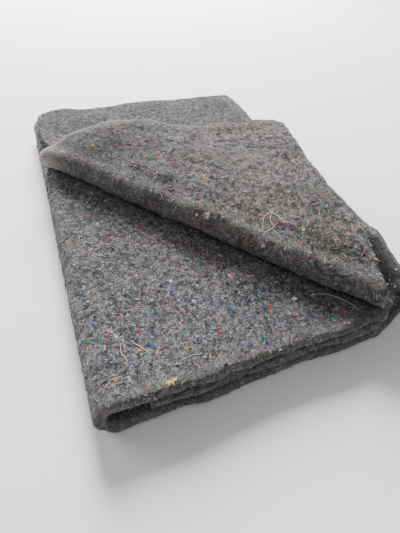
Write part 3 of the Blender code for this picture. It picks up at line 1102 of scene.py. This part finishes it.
FLECKS = (
    # across and down in the picture's pixels, size in metres, colour
    (80.5, 137, 0.0045, (0.02, 0.42, 0.72)),
    (92.3, 146, 0.0040, (0.95, 0.46, 0.03)),
    (90.5, 119, 0.0030, (0.80, 0.22, 0.34)),
    (76, 121.3, 0.0024, (0.50, 0.06, 0.18)),
    (56.6, 112, 0.0050, (0.03, 0.04, 0.05)),
    (218, 134, 0.0050, (0.02, 0.02, 0.02)),
    (118, 144.8, 0.0024, (0.60, 0.06, 0.10)),
    (80.3, 153, 0.0024, (0.62, 0.10, 0.06)),
    (131, 166.5, 0.0036, (0.40, 0.07, 0.05)),
    (158.6, 158, 0.0034, (0.68, 0.17, 0.06)),
    (173.6, 162.7, 0.0026, (0.66, 0.08, 0.07)),
    (190, 163.7, 0.0026, (0.10, 0.46, 0.62)),
    (180.7, 133.6, 0.0028, (0.76, 0.66, 0.10)),
    (196.7, 170, 0.0030, (0.68, 0.16, 0.20)),
    (166, 175, 0.0030, (0.06, 0.14, 0.52)),
    (203, 177.5, 0.0030, (0.86, 0.38, 0.04)),
    (203, 181, 0.0026, (0.86, 0.38, 0.04)),
    (222.7, 183, 0.0036, (0.52, 0.10, 0.36)),
    (206.8, 196.4, 0.0050, (0.04, 0.26, 0.14)),
    (207, 216, 0.0070, (0.80, 0.78, 0.74)),
    (84, 204, 0.0026, (0.56, 0.05, 0.26)),
    (93, 213, 0.0030, (0.46, 0.06, 0.26)),
    (88.5, 199.6, 0.0034, (0.06, 0.34, 0.22)),
    (87.2, 207, 0.0044, (0.14, 0.46, 0.16)),
    (64.4, 217, 0.0044, (0.06, 0.34, 0.20)),
    (97, 224, 0.0040, (0.70, 0.62, 0.50)),
    (123.3, 227, 0.0036, (0.04, 0.28, 0.20)),
    (110.6, 234.8, 0.0030, (0.52, 0.04, 0.12)),
    (142.7, 229.4, 0.0026, (0.42, 0.04, 0.08)),
    (86.4, 247.6, 0.0026, (0.06, 0.12, 0.50)),
    (135.5, 248, 0.0028, (0.05, 0.30, 0.42)),
    (275.8, 223.6, 0.0042, (0.74, 0.10, 0.36)),
    (283.2, 222.6, 0.0046, (0.78, 0.16, 0.44)),
    (313.2, 223, 0.0028, (0.54, 0.03, 0.10)),
    (247, 243.5, 0.0046, (0.50, 0.24, 0.08)),
    (282.6, 246.6, 0.0024, (0.56, 0.05, 0.10)),
    (310, 256.4, 0.0028, (0.50, 0.05, 0.08)),
    (316.4, 246.4, 0.0028, (0.04, 0.32, 0.18)),
    (349.5, 230, 0.0034, (0.46, 0.03, 0.10)),
    (356.5, 229.4, 0.0038, (0.46, 0.03, 0.10)),
    (349, 234, 0.0046, (0.66, 0.46, 0.50)),
    (326, 206.4, 0.0040, (0.02, 0.40, 0.60)),
    (299.4, 236.7, 0.0036, (0.03, 0.36, 0.42)),
    (263, 246, 0.0040, (0.80, 0.78, 0.74)),
    (294, 298.3, 0.0044, (0.82, 0.80, 0.76)),
    (270.5, 305.5, 0.0034, (0.66, 0.05, 0.06)),
    (259.5, 293, 0.0034, (0.04, 0.38, 0.26)),
    (333, 319, 0.0034, (0.04, 0.36, 0.24)),
    (233, 308, 0.0032, (0.08, 0.34, 0.58)),
    (166.8, 381, 0.0062, (0.74, 0.70, 0.34)),
    (173.6, 380.6, 0.0058, (0.82, 0.66, 0.22)),
    (170, 281, 0.0050, (0.76, 0.74, 0.71)),
    (111, 331, 0.0075, (0.74, 0.58, 0.57)),
    (115, 336, 0.0060, (0.74, 0.58, 0.57)),
    (116, 380, 0.0036, (0.82, 0.36, 0.06)),
    (219.8, 331.2, 0.0034, (0.70, 0.04, 0.07)),
    (188.5, 339, 0.0030, (0.66, 0.08, 0.14)),
    (184, 334.6, 0.0028, (0.05, 0.40, 0.26)),
    (191, 347.5, 0.0026, (0.72, 0.22, 0.06)),
    (138.8, 330.6, 0.0030, (0.60, 0.04, 0.12)),
    (151.8, 346, 0.0042, (0.05, 0.16, 0.56)),
    (137.5, 344.6, 0.0026, (0.66, 0.05, 0.08)),
    (146.5, 352, 0.0038, (0.04, 0.38, 0.26)),
    (145.6, 359.6, 0.0036, (0.04, 0.36, 0.22)),
    (88.6, 341, 0.0034, (0.05, 0.38, 0.26)),
    (101.8, 339.6, 0.0032, (0.05, 0.36, 0.24)),
    (250, 344.4, 0.0030, (0.04, 0.05, 0.34)),
    (267, 342.5, 0.0030, (0.04, 0.06, 0.34)),
)
THREADS = (
    # places across and down in the picture's pixels, colour
    (
        ((263.5, 234), (262.6, 226), (264.6, 217), (270.4, 212.6))
        + ((277, 217), (283, 221.5), (288.7, 223), (299, 227)),
        (0.74, 0.66, 0.44),
    ),
    (((272, 214), (270, 221), (274, 226), (268, 231), (263, 236)), (0.72, 0.62, 0.38)),
    (((314, 295), (328, 295.6), (340, 299), (351, 304), (360, 310)), (0.58, 0.56, 0.52)),
    (((188, 358), (193, 356.6), (198, 355), (203, 353.4)), (0.26, 0.44, 0.64)),
    (((119.4, 341), (120, 349), (123, 357), (126, 362), (127, 368)), (0.66, 0.54, 0.36)),
    (((132, 341), (138, 345), (145, 351), (152, 355)), (0.68, 0.50, 0.32)),
    (((254, 340), (257, 343.4), (258.4, 346)), (0.78, 0.36, 0.10)),
    (((84, 242.4), (88, 243), (93.4, 243.2)), (0.42, 0.32, 0.20)),
)
COLOUR_DRAW = 300
TUFT_FIBRES = 16
TUFT_THICKNESS = 0.00034
TUFT_HEIGHT = 0.0007
TUFT_HINT = np.array([0.3, 0.8, 0.1])
TUFT_SPREAD = 0.13
TUFT_BEND = 0.9
TUFT_TURN = 0.25
TUFT_SHORTEST = 0.5
TUFT_LENGTHS = 0.6
TUFT_LIFT = 0.00005
TUFT_SINK = 0.01
FLECK_DARKEST = 0.8
FLECK_SHADES = 0.3
SMALL_TUFTS = 430
GREY_TUFTS = 260
SMALL_TUFT_FIBRES = 7
SMALL_TUFT_SIZES = 0.0022
COLOURED_TUFT = (0.0014, TUFT_HEIGHT, FLECK_COLOURS)
GREY_TUFT = (0.0030, 0.0030, FIBRE_GREYS)
TRIES_FOR_TUFT = 5
OUTWARD_STEP = 0.001
THREAD_POINTS = 24
THREAD_THICKNESS = 0.00045
THREAD_LIFT = 0.0003
THREAD_WOBBLE = 0.00035
THREAD_RISE = 0.5


def curve_through(points, count):
    """Even points on a smooth curve through the given ones."""
    points = np.array(points)
    reach = np.concatenate([[0.0], np.cumsum(np.linalg.norm(np.diff(points, axis=0), axis=1))])
    at = np.linspace(0.0, reach[-1], count)
    return np.stack([through(list(zip(reach, points[:, axis])), at) for axis in range(3)], axis=-1)


def tuft(draw, place, outward, size, count, height):
    """Short curled fibres that lie about one place."""
    side = across_path(outward, TUFT_HINT)
    other = np.cross(outward, side)
    paths = np.zeros((count, FIBRE_POINTS, 3))
    for number in range(count):
        heading = draw.random() * 2 * math.pi
        spot = draw.normal(0.0, size * TUFT_SPREAD, 2)
        bend = draw.normal(0.0, TUFT_BEND)
        step = size * (TUFT_SHORTEST + TUFT_LENGTHS * draw.random()) / (FIBRE_POINTS - 1)
        for point in range(FIBRE_POINTS):
            rise = TUFT_LIFT + height * draw.random() * point / (FIBRE_POINTS - 1)
            paths[number, point] = place + side * spot[0] + other * spot[1] + outward * rise
            spot = spot + step * np.array([math.cos(heading), math.sin(heading)])
            heading += bend / FIBRE_POINTS + draw.normal(0.0, TUFT_TURN)
    return paths - outward * size * TUFT_SINK


def picture_tufts(draw, tree):
    """A tuft where each fleck shows in the picture, as paths and colours."""
    tufts = []
    for across, down, size, colour in FLECKS:
        hit = seen_at(tree, across, down)
        if hit:
            paths = tuft(draw, *hit, size, TUFT_FIBRES, TUFT_HEIGHT)
            shades = FLECK_DARKEST + FLECK_SHADES * draw.random((TUFT_FIBRES, 1))
            tufts.append((paths, np.array(colour) * shades))
    return tufts


def scattered_tufts(draw):
    """Small coloured tufts all over the felt, and grey ones that stand up."""
    many = SMALL_TUFTS + GREY_TUFTS
    run, skin = anywhere(draw, many * TRIES_FOR_TUFT)
    good = on_felt(run, skin)
    run, skin = run[good][:many], skin[good][:many]
    lump = lumps(run, skin)
    base = skin_point(run, skin, lump)
    above = skin_point(run, skin, lump + OUTWARD_STEP)
    tufts = []
    for number, (place, over) in enumerate(zip(base, above)):
        outward = (over - place) / np.linalg.norm(over - place)
        smallest, height, shades = COLOURED_TUFT if number < SMALL_TUFTS else GREY_TUFT
        size = smallest + SMALL_TUFT_SIZES * draw.random() ** 2
        paths = tuft(draw, place, outward, size, SMALL_TUFT_FIBRES, height)
        paths[..., 2] = np.maximum(paths[..., 2], FLOOR_CLEARANCE)
        colour = np.array(shades[draw.integers(len(shades))])
        tufts.append((paths, np.repeat(colour[None], SMALL_TUFT_FIBRES, axis=0)))
    return tufts


def threads(draw, tree):
    """Lines of the loose threads that show in the picture, and their colours."""
    lines = []
    colours = []
    for places, colour in THREADS:
        hits = [seen_at(tree, across, down) for across, down in places]
        points = [place + outward * THREAD_LIFT for place, outward in filter(None, hits)]
        if len(points) > 2:
            wobble = np.cumsum(draw.normal(0.0, THREAD_WOBBLE, (THREAD_POINTS, 3)), axis=0)
            wobble -= np.linspace(0.0, 1.0, THREAD_POINTS)[:, None] * wobble[-1]
            wobble[:, 2] = np.abs(wobble[:, 2]) * THREAD_RISE
            lines.append(curve_through(points, THREAD_POINTS) + wobble)
            colours.append(colour)
    return np.array(lines), np.array(colours)


def coloured(tree, look):
    """The flecks and threads that show in the picture, and small tufts scattered over the felt."""
    draw = np.random.default_rng(SEED + COLOUR_DRAW)
    tufts = picture_tufts(draw, tree) + scattered_tufts(draw)
    paths = np.concatenate([paths for paths, _ in tufts])
    colours = np.clip(np.concatenate([colours for _, colours in tufts]), 0, 1)
    flecks = tubes("colour_flecks", paths, TUFT_THICKNESS, colours, look)
    lines, colours = threads(draw, tree)
    return [flecks, tubes("loose_threads", lines, THREAD_THICKNESS, colours, look)]


# The floor, the light and the camera

FLOOR_REACH = 8.0
FLOOR_NOISE_SCALE = 1.5
FLOOR_SHADES = (0.3, 0.7, 0.93, 0.94)
WORLD_STRENGTH = 0.44
LIGHT_TARGET = (0.0, 0.0, 0.03)
LIGHTS = (
    # name, watts, size, place, colour
    ("key", 500.0, 1.5, (0.5, 3.0, 1.80), (1.0, 0.995, 0.995)),
    ("fill", 62.0, 1.8, (-2.4, 2.0, 1.3), (0.96, 0.98, 1.0)),
)
SENSOR_HEIGHT = 24.0


def floor_material():
    floor = Nodes("pale_floor")
    shade = floor.range(floor.noise(FLOOR_NOISE_SCALE), *FLOOR_SHADES)
    colour = floor.grey(shade)
    return floor.surface({"Base Color": colour, "Roughness": 0.9, "Specular IOR Level": 0.1})


def area_light(name, watts, size, place, colour):
    """A square light that looks at the blanket."""
    data = bpy.data.lights.new(name, "AREA")
    data.energy = watts
    data.color = colour
    data.size = size
    item = bpy.data.objects.new(name, data)
    item.location = place
    heading = Vector(LIGHT_TARGET) - Vector(place)
    item.rotation_euler = heading.to_track_quat("-Z", "Y").to_euler()
    bpy.context.scene.collection.objects.link(item)


def studio():
    reach = FLOOR_REACH
    corners = [(-reach, -reach, 0), (reach, -reach, 0), (reach, reach, 0), (-reach, reach, 0)]
    floor = quick_mesh("floor", corners, [(0, 1, 2, 3)])
    floor.data.materials.append(floor_material())
    world = bpy.data.worlds.new("studio")
    bpy.context.scene.world = world
    world.use_nodes = True
    background = world.node_tree.nodes["Background"].inputs
    background["Color"].default_value = (1.0, 1.0, 1.0, 1.0)
    background["Strength"].default_value = WORLD_STRENGTH
    for settings in LIGHTS:
        area_light(*settings)


def camera():
    data = bpy.data.cameras.new("camera")
    data.sensor_fit = "VERTICAL"
    data.sensor_height = SENSOR_HEIGHT
    data.lens = FOCAL_PIXELS / PICTURE_HEIGHT * SENSOR_HEIGHT
    item = bpy.data.objects.new("camera", data)
    pose = np.eye(4)
    pose[:3] = np.stack([CAMERA_RIGHT, CAMERA_UP, CAMERA_BACK, CAMERA_SPOT], axis=1)
    item.matrix_world = Matrix(pose.tolist())
    bpy.context.scene.collection.objects.link(item)
    bpy.context.scene.camera = item


sheet = blanket()
fibre_look = fibre_material()
pieces = [sheet]
bpy.context.view_layer.update()
tree = BVHTree.FromObject(sheet, bpy.context.evaluated_depsgraph_get())
pieces += fibres(fibre_look) + coloured(tree, fibre_look)
for piece in pieces:
    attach(piece, "root")
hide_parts("moving_blanket")
studio()
camera()
